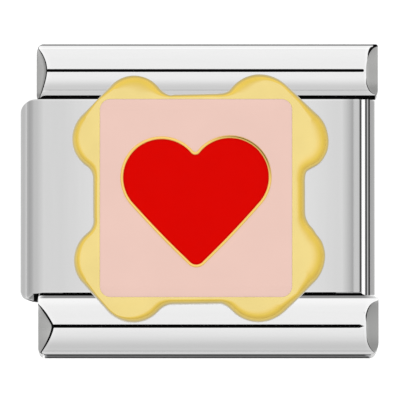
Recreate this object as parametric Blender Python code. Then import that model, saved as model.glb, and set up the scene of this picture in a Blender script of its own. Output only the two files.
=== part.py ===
"""A polished steel bracelet link that carries a gold biscuit-shaped plaque with an enamelled heart.

The link lies on its back with its face up. +X runs along the bracelet, +Y up the face and +Z out of
it, and the origin is at the middle of the surface that the link lies on. Everything is drawn in
millimetres, and hangs from one empty that scales it to metres.
"""

import math

import bmesh
import bpy
from mathutils import Matrix, Vector

MILLIMETRE = 0.001

# The two side rails: solid bars with a domed front and back, and a seam along each crest
RAIL_LEFT_END = -4.62
RAIL_RIGHT_END = 5.10
RAIL_FRONT = 3.00
RAIL_BACK = 0.06
RAIL_DOME = 0.42
RAIL_DOME_POWER = 2.2
RAIL_DOME_STEPS = 9
RAIL_CORNER = 0.16
# For each rail: the crest's place, its distance to the outer and inner edge, and its left facet
RAILS = {
    "rail_top": {"crest": 3.686, "outer": 0.744, "inner": 0.729, "facet": 0.28},
    "rail_bottom": {"crest": -3.621, "outer": 0.809, "inner": 0.850, "facet": 0.40},
}
RAIL_RIGHT_FACET = 0.34

# The lips of a rail reach over the ends of the tubes, and its two legs go into them
LIP_THICKNESS = 0.12
LIP_REACH = 0.30
LEG_LEFT = -3.90
LEG_RIGHT = 3.90
LEG_REACH = 0.75
SIDE_GROOVE_WIDTH = 0.12
SIDE_GROOVE_DEPTH = 0.08

# The seam along a rail's crest
SEAM_WIDTH = 0.086
SEAM_DEPTH = 0.16
SEAM_RIGHT_END = 4.70

# The two flat tubes of rolled sheet: the front one carries the plaque, the back one lies behind it
TUBE_HEIGHT = 1.25
TUBE_GAP = 0.12
SHEET = 0.25
TUBE_TOP_EDGE = 2.857
TUBE_BOTTOM_EDGE = -2.680
FACE_LEFT = -5.10
FACE_RIGHT = 4.623
FACE_RIGHT_ROUNDING = 0.20
FACE_CORNER = 0.40
FACE_EAR_BOTTOM = -2.97
FACE_EAR_RIGHT = -4.645
BACK_LEFT = -4.70
BACK_RIGHT = 5.014
BACK_LEFT_ROUNDING = 0.20

# The spring leaf that shows in the slot at the right, an upright strip with a foot towards the face
LEAF_FOOT_LEFT = 4.640
LEAF_LEFT = 4.734
LEAF_RIGHT = 4.871
LEAF_TOP = 2.55
LEAF_FOOT_TOP = 2.47
LEAF_FOOT_THICKNESS = 0.08
LEAF_BOTTOM = 1.13

# The gold plaque, with straight sides and two lobes at each corner
PLAQUE_CENTRE = (-0.023, 0.011)
PLAQUE_HALF_SIDE = 3.00
PLAQUE_UNDERSIDE = 3.04
PLAQUE_TOP = 3.75
PLAQUE_EDGE_ROUNDING = 0.14
PLAQUE_SIDE_FILLET = 0.55
PLAQUE_FLANK_RADIUS = 3.00
# Centre and radius of each lobe from the plaque's centre, anticlockwise from the right side's lower
LOBES = (
    (2.520, -1.594, 1.069),
    (2.709, 1.709, 0.971),
    (1.726, 2.477, 1.097),
    (-1.843, 2.629, 0.911),
    (-2.631, 1.720, 0.983),
    (-2.597, -1.723, 0.980),
    (-1.866, -2.549, 0.957),
    (1.703, -2.463, 1.040),
)
BOSS_HALF_SIDE = 2.40

# The enamel: a pink square that nearly fills the plaque, round a red heart inside a gold line
POCKET_DEPTH = 0.15
ENAMEL_GAP = 0.010
PINK_LEFT = -2.843
PINK_RIGHT = 2.643
PINK_TOP = 2.857
PINK_BOTTOM = -2.800
PINK_CORNER = 0.17
HEART_MIDDLE = -0.130
HEART_LOBE_SPREAD = 0.973
HEART_LOBE_Y = 0.643
HEART_LOBE_RADIUS = 1.080
HEART_TIP_Y = -1.626
HEART_TIP_RADIUS = 0.229
HEART_NOTCH_RADIUS = 0.150
HEART_LINE = 0.075

ARC_STEP = math.radians(9)
CLEARANCE = 0.02
WELD_DISTANCE = 1e-5

# The finishes: linear colour, roughness and metallic value
STEEL = ((0.72, 0.72, 0.73), 0.10, 1.0)
GOLD = ((0.90, 0.66, 0.24), 0.25, 1.0)
PINK = ((0.85, 0.57, 0.49), 0.20, 0.0)
RED = ((0.70, 0.004, 0.0), 0.15, 0.0)


def new_collection(name):
    """Adds a collection to the scene."""
    collection = bpy.data.collections.new(name)
    bpy.context.scene.collection.children.link(collection)
    return collection


for old in list(bpy.data.objects):
    bpy.data.objects.remove(old, do_unlink=True)
PARTS = new_collection("charm_link")
CUTTERS = new_collection("cutters")
TO_METRES = bpy.data.objects.new("millimetres", None)
TO_METRES.scale = (MILLIMETRE, MILLIMETRE, MILLIMETRE)
PARTS.objects.link(TO_METRES)


def material(name, finish):
    """Makes a Principled material from one of the finishes."""
    colour, roughness, metallic = finish
    made = bpy.data.materials.new(name)
    made.use_nodes = True
    shader = made.node_tree.nodes["Principled BSDF"]
    shader.inputs["Base Color"].default_value = (*colour, 1.0)
    shader.inputs["Roughness"].default_value = roughness
    shader.inputs["Metallic"].default_value = metallic
    return made


def arc(centre, radius, start, end):
    """Points along an arc, both ends included; the angles are in radians."""
    count = max(2, math.ceil(abs(end - start) / ARC_STEP))
    points = []
    for step in range(count + 1):
        angle = start + (end - start) * step / count
        points.append((centre[0] + radius * math.cos(angle), centre[1] + radius * math.sin(angle)))
    return points


def rounded_rectangle(left, right, bottom, top, radii):
    """A rectangle whose corners, from the lower left anticlockwise, have the given radii."""
    corners = ((left, bottom, 1, 1), (right, bottom, -1, 1), (right, top, -1, -1), (left, top, 1, -1))
    points = []
    for index, (x, y, inward_x, inward_y) in enumerate(corners):
        radius = radii[index]
        if radius == 0:
            points.append((x, y))
            continue
        centre = (x + inward_x * radius, y + inward_y * radius)
        start = math.pi + index * math.pi / 2
        points += arc(centre, radius, start, start + math.pi / 2)
    return points


# Turns an upright prism, drawn in X and Y, so that it runs along another axis
ALONG_Z = Matrix.Identity(4)
ALONG_X = Matrix(((0, 0, 1, 0), (1, 0, 0, 0), (0, 1, 0, 0), (0, 0, 0, 1)))
ALONG_Y = Matrix(((1, 0, 0, 0), (0, 0, -1, 0), (0, 1, 0, 0), (0, 0, 0, 1)))


def prism(name, outlines, start, end, turn=ALONG_Z, edge_rounding=0.0):
    """Fills flat outlines, holes included, and extrudes them from start to end along the turned axis."""
    curve = bpy.data.curves.new(name, "CURVE")
    curve.dimensions = "2D"
    curve.fill_mode = "BOTH"
    curve.extrude = abs(end - start) / 2 - edge_rounding
    curve.bevel_depth = edge_rounding
    curve.bevel_resolution = 3
    curve.offset = -edge_rounding
    for outline in outlines:
        spline = curve.splines.new("POLY")
        spline.points.add(len(outline) - 1)
        for point, (x, y) in zip(spline.points, outline):
            point.co = (x, y, 0.0, 1.0)
        spline.use_cyclic_u = True
    drawn = bpy.data.objects.new(name, curve)
    PARTS.objects.link(drawn)
    bpy.context.view_layer.update()
    evaluated = drawn.evaluated_get(bpy.context.evaluated_depsgraph_get())
    mesh = bpy.data.meshes.new_from_object(evaluated)
    bpy.data.objects.remove(drawn)
    bpy.data.curves.remove(curve)

    shape = bmesh.new()
    shape.from_mesh(mesh)
    bmesh.ops.remove_doubles(shape, verts=shape.verts, dist=WELD_DISTANCE)
    bmesh.ops.translate(shape, verts=shape.verts, vec=(0, 0, (start + end) / 2))
    bmesh.ops.transform(shape, matrix=turn, verts=shape.verts)
    bmesh.ops.recalc_face_normals(shape, faces=shape.faces)
    shape.to_mesh(mesh)
    shape.free()

    solid = bpy.data.objects.new(name, mesh)
    PARTS.objects.link(solid)
    solid.parent = TO_METRES
    return solid


def combine(solid, tool, operation):
    """Joins, cuts or trims a solid with a tool, which is kept as a hidden cutter."""
    PARTS.objects.unlink(tool)
    CUTTERS.objects.link(tool)
    tool.hide_render = True
    tool.display_type = "WIRE"
    modifier = solid.modifiers.new(tool.name, "BOOLEAN")
    modifier.operation = operation
    modifier.object = tool
    modifier.solver = "EXACT"


def finish_as(solid, name, finish):
    """Gives a solid its material and smooth shading with sharp edges kept."""
    solid.data.materials.clear()
    solid.data.materials.append(material(name, finish))
    solid.data.shade_smooth()
    solid.data.set_sharp_from_angle(angle=math.radians(30))


def dome_half(reach):
    """Height of the dome above its edge, at steps from the crest out to the edge."""
    points = []
    for step in range(RAIL_DOME_STEPS + 1):
        share = step / RAIL_DOME_STEPS
        points.append((reach * share, RAIL_DOME * (1 - share ** RAIL_DOME_POWER)))
    return points


def rail_section(rail):
    """Cross-section of a rail in Y and Z, with the lips and the groove between its two layers."""
    outward = math.copysign(1, rail["crest"])
    shoulder_front = RAIL_FRONT - RAIL_DOME
    shoulder_back = RAIL_BACK + RAIL_DOME
    middle = (RAIL_FRONT + RAIL_BACK) / 2
    outer = dome_half(rail["outer"])
    inner = dome_half(rail["inner"])
    recess = LIP_REACH - rail["inner"]
    section = [(-u, shoulder_front + h) for u, h in reversed(inner)]
    section += [(u, shoulder_front + h) for u, h in outer[1:]]
    section += [
        (rail["outer"], middle + SIDE_GROOVE_WIDTH / 2),
        (rail["outer"] - SIDE_GROOVE_DEPTH, middle),
        (rail["outer"], middle - SIDE_GROOVE_WIDTH / 2),
    ]
    section += [(u, shoulder_back - h) for u, h in reversed(outer)]
    section += [(-u, shoulder_back - h) for u, h in inner[1:]]
    section += [
        (-rail["inner"], shoulder_back + LIP_THICKNESS),
        (recess, shoulder_back + LIP_THICKNESS),
        (recess, shoulder_front - LIP_THICKNESS),
        (-rail["inner"], shoulder_front - LIP_THICKNESS),
    ]
    return [(rail["crest"] + outward * u, z) for u, z in section]


def rail_side_outline(rail):
    """Outline of a rail seen along Y: the domed faces are cut back towards the ends by facets."""
    shoulder_front = RAIL_FRONT - RAIL_DOME
    shoulder_back = RAIL_BACK + RAIL_DOME
    left = RAIL_LEFT_END
    right = RAIL_RIGHT_END
    return [
        (left + rail["facet"], RAIL_BACK - CLEARANCE),
        (right - RAIL_RIGHT_FACET, RAIL_BACK - CLEARANCE),
        (right, shoulder_back),
        (right, shoulder_front),
        (right - RAIL_RIGHT_FACET, RAIL_FRONT + CLEARANCE),
        (left + rail["facet"], RAIL_FRONT + CLEARANCE),
        (left, shoulder_front),
        (left, shoulder_back),
    ]


def build_rail(name, rail):
    """One side rail, which closes the two tubes along one side of the link."""
    outward = math.copysign(1, rail["crest"])
    outer_edge = rail["crest"] + outward * rail["outer"]
    inner_edge = rail["crest"] - outward * rail["inner"]
    low, high = sorted((outer_edge, inner_edge))
    body = prism(name, [rail_section(rail)], RAIL_LEFT_END, RAIL_RIGHT_END, ALONG_X)
    combine(
        body,
        prism(name + "_side", [rail_side_outline(rail)], -(low - 1), -(high + 1), ALONG_Y),
        "INTERSECT",
    )
    radii = [RAIL_CORNER] * 4
    plan = rounded_rectangle(RAIL_LEFT_END, RAIL_RIGHT_END, low, high, radii)
    combine(body, prism(name + "_plan", [plan], -1, RAIL_FRONT + 1), "INTERSECT")

    leg_start = inner_edge + outward * (LIP_REACH + CLEARANCE)
    leg_end = inner_edge - outward * LEG_REACH
    leg_low, leg_high = sorted((leg_start, leg_end))
    leg = rounded_rectangle(LEG_LEFT, LEG_RIGHT, leg_low, leg_high, [0] * 4)
    for layer, bottom in (("back", 0.0), ("front", TUBE_HEIGHT + TUBE_GAP)):
        leg_bottom = bottom + SHEET + CLEARANCE
        leg_top = bottom + TUBE_HEIGHT - SHEET - CLEARANCE
        combine(body, prism(f"{name}_leg_{layer}", [leg], leg_bottom, leg_top), "UNION")

    half_seam = SEAM_WIDTH / 2
    seam = rounded_rectangle(
        RAIL_LEFT_END - 1,
        SEAM_RIGHT_END,
        rail["crest"] - half_seam,
        rail["crest"] + half_seam,
        (0, half_seam, half_seam, 0),
    )
    for face, bottom, top in (
        ("front", RAIL_FRONT - SEAM_DEPTH, RAIL_FRONT + 1),
        ("back", RAIL_BACK - 1, RAIL_BACK + SEAM_DEPTH),
    ):
        combine(body, prism(f"{name}_seam_{face}", [seam], bottom, top), "DIFFERENCE")
    finish_as(body, name, STEEL)


def roll_section(left, right, bottom, roll_on_left, rounding):
    """Section of a tube in X and Z: one end is a full half-round roll, the other has small corners."""
    top = bottom + TUBE_HEIGHT
    full = TUBE_HEIGHT / 2
    if roll_on_left:
        outer_radii = (full, rounding, rounding, full)
    else:
        outer_radii = (rounding, full, full, rounding)
    inner_radii = [max(radius - SHEET, 0) for radius in outer_radii]
    outer = rounded_rectangle(left, right, bottom, top, outer_radii)
    inner = rounded_rectangle(left + SHEET, right - SHEET, bottom + SHEET, top - SHEET, inner_radii)
    return [outer, inner]


def build_face_tube():
    """The front tube, whose left roll has rounded corners and an ear past the lower rail's end."""
    section = roll_section(FACE_LEFT, FACE_RIGHT, TUBE_HEIGHT + TUBE_GAP, True, FACE_RIGHT_ROUNDING)
    tube = prism("face_tube", section, -TUBE_TOP_EDGE, -FACE_EAR_BOTTOM, ALONG_Y)
    ear_corner = FACE_EAR_RIGHT - FACE_LEFT
    outline = arc(
        (FACE_LEFT + ear_corner, FACE_EAR_BOTTOM + ear_corner), ear_corner, math.pi, 1.5 * math.pi
    )
    outline += [(FACE_EAR_RIGHT, TUBE_BOTTOM_EDGE)]
    outline += [(FACE_RIGHT + CLEARANCE, TUBE_BOTTOM_EDGE), (FACE_RIGHT + CLEARANCE, TUBE_TOP_EDGE)]
    outline += arc(
        (FACE_LEFT + FACE_CORNER, TUBE_TOP_EDGE - FACE_CORNER), FACE_CORNER, math.pi / 2, math.pi
    )
    combine(tube, prism("face_tube_plan", [outline], 0, RAIL_FRONT), "INTERSECT")
    finish_as(tube, "face_tube", STEEL)


def build_back_tube():
    """The back tube, turned the other way round, on whose flat back the link lies."""
    section = roll_section(BACK_LEFT, BACK_RIGHT, 0, False, BACK_LEFT_ROUNDING)
    tube = prism("back_tube", section, -TUBE_TOP_EDGE, -TUBE_BOTTOM_EDGE, ALONG_Y)
    finish_as(tube, "back_tube", STEEL)


def build_spring_leaf():
    """The strip that stands in the slot between the two rolls, with a rounded top."""
    half = (LEAF_RIGHT - LEAF_LEFT) / 2
    section = [(LEAF_LEFT, LEAF_BOTTOM), (LEAF_RIGHT, LEAF_BOTTOM)]
    section += arc(((LEAF_LEFT + LEAF_RIGHT) / 2, LEAF_TOP - half), half, 0, math.pi)
    section += [
        (LEAF_LEFT, LEAF_FOOT_TOP),
        (LEAF_FOOT_LEFT, LEAF_FOOT_TOP),
        (LEAF_FOOT_LEFT, LEAF_FOOT_TOP - LEAF_FOOT_THICKNESS),
        (LEAF_LEFT, LEAF_FOOT_TOP - LEAF_FOOT_THICKNESS),
    ]
    leaf = prism("spring_leaf", [section], -TUBE_TOP_EDGE, -TUBE_BOTTOM_EDGE, ALONG_Y)
    finish_as(leaf, "spring_leaf", STEEL)


def angle_to(centre, target):
    """Direction from one point to another, in radians."""
    return math.atan2(target[1] - centre[1], target[0] - centre[0])


def turned(point, angle):
    """A flat point turned about the origin."""
    flat = Vector(point)
    flat.rotate(Matrix.Rotation(angle, 2))
    return (flat.x, flat.y)


def side_fillets(first, second, side_angle):
    """Centres of the two hollow arcs that lead from a pair of lobes into the straight side between."""
    centres = []
    for (x, y, radius), towards_middle in ((first, 1), (second, -1)):
        lobe_x, lobe_y = turned((x, y), -side_angle)
        centre_x = PLAQUE_HALF_SIDE + PLAQUE_SIDE_FILLET
        rise = math.sqrt((radius + PLAQUE_SIDE_FILLET) ** 2 - (centre_x - lobe_x) ** 2)
        centres.append(turned((centre_x, lobe_y + towards_middle * rise), side_angle))
    return centres


def flank_centre(first, second):
    """Centre of the shallow hollow arc that touches two neighbouring lobes from outside."""
    near = Vector(first[:2])
    far = Vector(second[:2])
    apart = far - near
    reach_near = first[2] + PLAQUE_FLANK_RADIUS
    reach_far = second[2] + PLAQUE_FLANK_RADIUS
    along = (reach_near ** 2 - reach_far ** 2 + apart.length_squared) / (2 * apart.length)
    across = math.sqrt(reach_near ** 2 - along ** 2)
    direction = apart.normalized()
    outside = Vector((direction.y, -direction.x))
    return tuple(near + direction * along + outside * across)


def round_arc(centre, radius, start, end):
    """An anticlockwise arc of less than a turn, for the round stretches of an outline."""
    return arc(centre, radius, start, start + (end - start) % (2 * math.pi))


def hollow_arc(centre, radius, start, end):
    """A clockwise arc of less than a turn, for the hollow stretches of an outline."""
    return arc(centre, radius, start, start - (start - end) % (2 * math.pi))


def plaque_outline():
    """The plaque's outline: eight round lobes with hollow arcs and straight sides between them."""
    bridges = []
    for index, lobe in enumerate(LOBES):
        following = LOBES[(index + 1) % len(LOBES)]
        if index % 2 == 0:
            bridges.append(side_fillets(lobe, following, index // 2 * math.pi / 2))
        else:
            bridges.append([flank_centre(lobe, following)])
    points = []
    for index, lobe in enumerate(LOBES):
        following = LOBES[(index + 1) % len(LOBES)]
        start = angle_to(lobe, bridges[index - 1][-1])
        points += round_arc(lobe, lobe[2], start, angle_to(lobe, bridges[index][0]))
        if len(bridges[index]) == 1:
            centre = bridges[index][0]
            stretch = hollow_arc(
                centre, PLAQUE_FLANK_RADIUS, angle_to(centre, lobe), angle_to(centre, following)
            )
            points += stretch[1:-1]
        else:
            into, out_of = bridges[index]
            towards_side = index // 2 * math.pi / 2 + math.pi
            fillet = PLAQUE_SIDE_FILLET
            points += hollow_arc(into, fillet, angle_to(into, lobe), towards_side)[1:]
            points += hollow_arc(out_of, fillet, towards_side, angle_to(out_of, following))[:-1]
    return [(x + PLAQUE_CENTRE[0], y + PLAQUE_CENTRE[1]) for x, y in points]


def heart_outline(offset):
    """The heart's outline, moved outwards by an offset: two lobes, straight flanks, tip and notch."""
    lobe_radius = HEART_LOBE_RADIUS + offset
    tip_radius = HEART_TIP_RADIUS + offset
    notch_radius = HEART_NOTCH_RADIUS - offset
    lobe = Vector((HEART_LOBE_SPREAD, HEART_LOBE_Y))
    tip = Vector((0.0, HEART_TIP_Y))
    down = tip - lobe
    flank = math.atan2(down.y, down.x) + math.acos((lobe_radius - tip_radius) / down.length)
    notch_rise = math.sqrt((lobe_radius + notch_radius) ** 2 - HEART_LOBE_SPREAD ** 2)
    notch = (0.0, HEART_LOBE_Y + notch_rise)
    to_notch = angle_to(lobe, notch)
    right = arc(tip, tip_radius, -math.pi / 2, flank)[1:]
    right += arc(lobe, lobe_radius, flank, to_notch)
    right += hollow_arc(notch, notch_radius, angle_to(notch, lobe), -math.pi / 2)[1:]
    left = [(-x, y) for x, y in reversed(right[:-1])]
    lowest = [(0.0, HEART_TIP_Y - tip_radius)]
    return [(x + HEART_MIDDLE, y) for x, y in right + left + lowest]


def pink_outline(inset):
    """The pink square's outline, moved inwards by an inset."""
    return rounded_rectangle(
        PINK_LEFT + inset,
        PINK_RIGHT - inset,
        PINK_BOTTOM + inset,
        PINK_TOP - inset,
        [PINK_CORNER] * 4,
    )


def build_plaque():
    """The gold plaque with its pockets for the enamel, and the boss that it stands on."""
    plaque = prism(
        "plaque", [plaque_outline()], PLAQUE_UNDERSIDE, PLAQUE_TOP, edge_rounding=PLAQUE_EDGE_ROUNDING
    )
    boss = rounded_rectangle(
        -BOSS_HALF_SIDE, BOSS_HALF_SIDE, -BOSS_HALF_SIDE, BOSS_HALF_SIDE, [PINK_CORNER] * 4
    )
    face = 2 * TUBE_HEIGHT + TUBE_GAP
    boss_top = PLAQUE_UNDERSIDE + CLEARANCE
    combine(plaque, prism("plaque_boss", [boss], face + CLEARANCE / 2, boss_top), "UNION")
    floor = PLAQUE_TOP - POCKET_DEPTH
    pink_pocket = [pink_outline(0), heart_outline(HEART_LINE)]
    combine(plaque, prism("pink_pocket", pink_pocket, floor, PLAQUE_TOP + 1), "DIFFERENCE")
    combine(plaque, prism("red_pocket", [heart_outline(0)], floor, PLAQUE_TOP + 1), "DIFFERENCE")
    finish_as(plaque, "plaque", GOLD)


def build_enamel():
    """The pink square with its heart-shaped opening, and the red heart."""
    floor = PLAQUE_TOP - POCKET_DEPTH + ENAMEL_GAP
    surface = PLAQUE_TOP - ENAMEL_GAP
    pink = prism("enamel_pink", [pink_outline(ENAMEL_GAP), heart_outline(HEART_LINE + ENAMEL_GAP)],
                 floor, surface)
    finish_as(pink, "enamel_pink", PINK)
    red = prism("enamel_red", [heart_outline(-ENAMEL_GAP)], floor, surface)
    finish_as(red, "enamel_red", RED)


for rail_name, rail_sizes in RAILS.items():
    build_rail(rail_name, rail_sizes)
build_face_tube()
build_back_tube()
build_spring_leaf()
build_plaque()
build_enamel()
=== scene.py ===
"""The looks of the charm link: polished steel rails and tubes, a gold biscuit-shaped plaque and enamel.

Every piece is drawn in millimetres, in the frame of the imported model, and scaled to metres at the end.
"""

import math

import bmesh
import bpy
from mathutils import Matrix, Vector
from mathutils.geometry import tessellate_polygon


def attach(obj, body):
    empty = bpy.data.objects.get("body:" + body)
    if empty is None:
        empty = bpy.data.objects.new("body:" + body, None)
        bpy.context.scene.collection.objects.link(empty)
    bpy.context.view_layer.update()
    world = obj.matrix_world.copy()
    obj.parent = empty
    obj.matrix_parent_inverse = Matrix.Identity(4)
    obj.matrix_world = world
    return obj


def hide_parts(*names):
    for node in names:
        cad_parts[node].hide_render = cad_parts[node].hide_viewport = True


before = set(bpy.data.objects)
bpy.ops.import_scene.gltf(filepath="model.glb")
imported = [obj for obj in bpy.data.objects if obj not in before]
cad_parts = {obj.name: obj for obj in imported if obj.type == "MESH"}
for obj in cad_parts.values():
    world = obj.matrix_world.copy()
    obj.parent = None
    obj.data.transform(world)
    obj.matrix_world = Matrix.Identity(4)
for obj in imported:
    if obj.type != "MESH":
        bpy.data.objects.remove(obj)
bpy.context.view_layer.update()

MILLIMETRE = 0.001
# How near points are welded, and from what angle an edge stays sharp
WELD_DISTANCE = 1e-4
SHARP_ANGLE = math.radians(32)
# The most that an arc turns between two of its points
ARC_STEP = math.radians(5)
# A step that is too small to see
HAIR = 0.001

# The two side rails, each with a domed front and back
RAIL_FRONT = 3.00
RAIL_BACK = 0.06
RAIL_DOME = 0.42
RAIL_DOME_POWER = 2.2
RAIL_DOME_STEPS = 18
SHOULDER_FRONT = RAIL_FRONT - RAIL_DOME
SHOULDER_BACK = RAIL_BACK + RAIL_DOME
# Further points of a dome near its edge, where its tone changes fast
EDGE_STEPS = (0.018, 0.044, 0.052, 0.070, 0.078, 0.105, 0.135)
# The outer wall: heights of its points from the middle, where its groove is, and how it widens downwards
WALL_RISES = (0.40, 0.22, 0.07, 0.0, -0.07, -0.22, -0.40)
WALL_FLARE = 0.025
SIDE_GROOVE = 0.08
# Tones of the wall, painted light: a bright stripe along its middle, a painted highlight, and the light at
# its top by the cut ends
WALL_STRIPE = ((0.0, 2.7), (0.12, 1.0))
WALL_LIGHT = 4.9
# The channel inside, the strip in the gap beside the tubes, and the legs in the tubes, all dark as painted
# shade
LIP_THICKNESS = 0.12
LIP_REACH = 0.30
GAP_STRIP = (2.20, 2.30)
GAP_PLAY = 0.005
LEG_END = 3.90
LEG_REACH = 0.75
LEG_PLAY = 0.02
# The seam: distance from its gap's edge, kind of point, and depth. Its lips are brightened as painted
# highlights, and its floor and inner walls are dark as painted shade
SEAM_LIP = 0.062
SEAM_LIP_TONE = 1.03
SEAM_STEPS = ((0.009, "lip", 0.003), (0.003, "lip", 0.009), (0.0, "seam", 0.030), (-0.003, "seam", 0.10))
SEAM_FLOOR = 0.6
SEAM_DEPTH = 0.16
# Its right end, where it closes: place, shares of its taper, and the least width
SEAM_END = 4.70
SEAM_END_SHARES = (0.0, 0.3, 0.55, 0.75, 0.9, 0.97)
SEAM_END_WIDTH = 0.12
SEAM_END_LIP = 0.012
# By the cut ends, a rail is brighter, as painted light, and what is sunk starts behind the rim
BRIGHT_EDGE = 0.040
END_GAIN = 0.10
RECESS_START = 0.006
# For each rail: where it lies, and how its ends are cut and its corners rounded in plan.
# A corner has the length along X and Y of its rounding, and a facet the limit, power and root of its
# curve in each half. Creases are widths of the dark lines round the facets, which are painted shade, and
# rim, middle and foot are tones of painted light and shade, by the distance from the crest, outwards
# positive. The tones of the halves, painted light and shade too, go by the distance from their edge,
# and inner_fade brightens the inner half by the cut ends as painted light.
RAIL_TOP = {
    "crest": 3.667, "outer": 0.777, "inner": 0.686, "left": -4.655, "right": 5.10, "seam_half": 0.042,
    "left_corners": {"outer": (0.18, 0.28), "inner": (0.02, 0.04)},
    "right_corners": {"outer": (0.05, 0.07), "inner": (0.06, 0.16)},
    "left_facet": {
        "depth": 0.274, "outer": (0.90, 1.96, 1.0), "inner": (1.21, 1.70, 1.0),
        "rim": ((-0.5, 0.56), (0.5, 0.50)), "middle": ((-0.5, 1.02), (0.5, 1.02)),
        "foot": ((-0.5, 0.92), (0.5, 0.90)),
    },
    "right_facet": {
        "depth": 0.340, "outer": (0.905, 2.0, 0.5), "inner": (0.985, 3.2, 0.5),
        "rim": ((-0.6, 1.25), (0.0, 1.20), (0.35, 1.0)),
        "middle": ((-0.45, 1.12), (0.0, 1.02), (0.45, 1.05)),
        "foot": ((-0.45, 1.12), (0.0, 1.02), (0.45, 1.12)),
    },
    "left_crease": ((-0.73, 0.014), (-0.5, 0.028), (0.0, 0.030), (0.5, 0.028), (0.74, 0.010)),
    "right_crease": (
        (-0.70, 0.010), (-0.60, 0.024), (-0.36, 0.020), (-0.20, 0.0), (0.30, 0.0), (0.42, 0.022),
        (0.50, 0.050), (0.60, 0.084), (0.66, 0.116), (0.70, 0.148), (0.72, 0.150), (0.744, 0.120),
    ),
    "left_flare": 0.085, "gap": (-4.64, 4.955), "seam_taper": 0.045,
    "outer_tones": ((0.044, 0.24), (0.052, 0.85), (0.10, 0.87), (0.14, 1.0)),
    "inner_tones": ((0.0, 0.62), (0.105, 0.60), (0.135, 0.85), (0.16, 1.0)), "inner_fade": 0.0,
}
RAIL_BOTTOM = {
    "crest": -3.645, "outer": 0.785, "inner": 0.890, "left": -4.608, "right": 5.116, "seam_half": 0.049,
    "left_corners": {"outer": (0.17, 0.15), "inner": (0.06, 0.06)},
    "right_corners": {"outer": (0.22, 0.36), "inner": (0.13, 0.17)},
    "left_facet": {
        "depth": 0.385, "outer": (1.04, 1.54, 1.0), "inner": (0.70, 1.15, 1.0),
        "rim": ((-0.45, 0.65), (-0.2, 0.92), (0.0, 1.20), (0.2, 1.25), (0.35, 1.10), (0.55, 0.85)),
        "middle": ((-0.45, 0.72), (-0.2, 0.98), (0.0, 1.12), (0.2, 1.15), (0.5, 0.92)),
        "foot": ((-0.45, 0.76), (-0.2, 0.98), (0.15, 1.02), (0.5, 0.92)),
    },
    "right_facet": {
        "depth": 0.360, "outer": (0.97, 2.5, 0.5), "inner": (0.84, 2.5, 0.5),
        "rim": ((-0.6, 0.74), (-0.3, 0.80), (0.0, 1.06), (0.35, 0.98), (0.65, 0.85)),
        "middle": ((-0.6, 0.84), (0.0, 0.92), (0.6, 0.90)),
        "foot": ((-0.6, 0.92), (0.0, 0.95), (0.6, 0.95)),
    },
    "left_crease": ((-0.65, 0.0), (-0.60, 0.040), (-0.4, 0.068), (0.0, 0.070), (0.4, 0.062), (0.81, 0.036)),
    "right_crease": (
        (-0.70, 0.004), (-0.60, 0.026), (-0.30, 0.034), (-0.10, 0.0), (0.25, 0.0),
        (0.45, 0.018), (0.75, 0.018), (0.81, 0.0),
    ),
    "left_flare": 0.0, "gap": (-4.615, 4.757), "seam_taper": 0.13,
    "outer_tones": (
        (0.048, 0.61), (0.077, 0.745), (0.106, 0.93), (0.134, 0.965), (0.19, 0.93), (0.30, 0.895),
        (0.45, 0.885), (0.55, 0.92), (0.68, 0.965), (0.75, 1.0),
    ),
    "inner_tones": ((0.070, 0.26), (0.078, 0.93), (0.105, 1.08), (0.20, 1.05), (0.32, 1.0)),
    "inner_fade": 1.2,
}
# Where a facet's tones, painted light and shade, are given, from its rim down
FACET_LEVELS = (("rim", 0.0), ("middle", 0.3), ("foot", 1.0))

# The two tubes of rolled sheet
TUBE_HEIGHT = 1.25
TUBE_GAP = 0.12
TUBE_TOP = 2.869
TUBE_BOTTOM = -2.656
TUBE_CORNER = 0.20
SHEET = 0.25
ROLL_STEPS = 30
ROLL_FLAT = 0.05
FACE_LEFT = -5.126
FACE_RIGHT = 4.632
FACE_CORNER = 0.40
FACE_BACK = TUBE_HEIGHT + TUBE_GAP
FACE_FRONT = FACE_BACK + TUBE_HEIGHT
BACK_LEFT = -4.70
BACK_RIGHT = 5.030
BACK_RISE = 0.085
# Their rounded rims
EDGE_BEVEL = 0.030
EDGE_SINK = 0.022
# The front tube dips at its right, and ends in a small lip
DIP_START = 4.071
DIP_END = 4.397
DIP_DEPTH = 0.06
DIP_POWER = 2.4
DIP_STEPS = 10
LIP_START = 4.415
LIP_WIDTH = 0.05
LIP_DROP = 0.012
LIP_CORNER = 0.09
# Tones by X, all painted light and shade: along the roll, the dip, the lip and the dark right end, under
# the front tube, and along the back tube; the back tube is drawn mirrored
FACE_TONES = (
    (-5.126, 0.50), (-4.985, 0.63), (-4.93, 0.86), (-4.87, 0.67), (-4.79, 0.69), (-4.74, 0.79),
    (-4.65, 0.79), (-4.43, 1.0), (DIP_START, 1.0), (4.20, 0.84), (4.39, 0.56), (4.42, 0.87),
    (4.56, 0.83), (4.59, 0.08), (FACE_RIGHT, 0.08),
)
UNDERSIDE_TONE = 0.8
BACK_TONES = ((-5.03, 0.35), (-5.0, 0.42), (-4.97, 0.48), (-4.4, 0.50), (-4.2, 1.0))
# The ear, where the front tube's roll stands out below: its lower edge and its outline by X
EAR_RIGHT = -4.612
EAR_EDGE = (
    (-5.126, -2.70), (-5.10, -2.73), (-5.08, -2.77), (-5.03, -2.80), (-4.95, -2.80), (-4.90, -2.79),
    (-4.85, -2.75), (-4.80, -2.715), (-4.75, -2.700), (-4.62, -2.692), (-4.36, TUBE_BOTTOM),
)
EAR_OUTLINE = (
    (-5.126, -2.745), (-5.10, -2.78), (-5.08, -2.81), (-5.03, -2.845), (-4.914, -2.89),
    (-4.771, -2.93), (-4.614, -2.95),
)
EAR_HOLLOW = 0.10
EAR_RIM = 0.035
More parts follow.
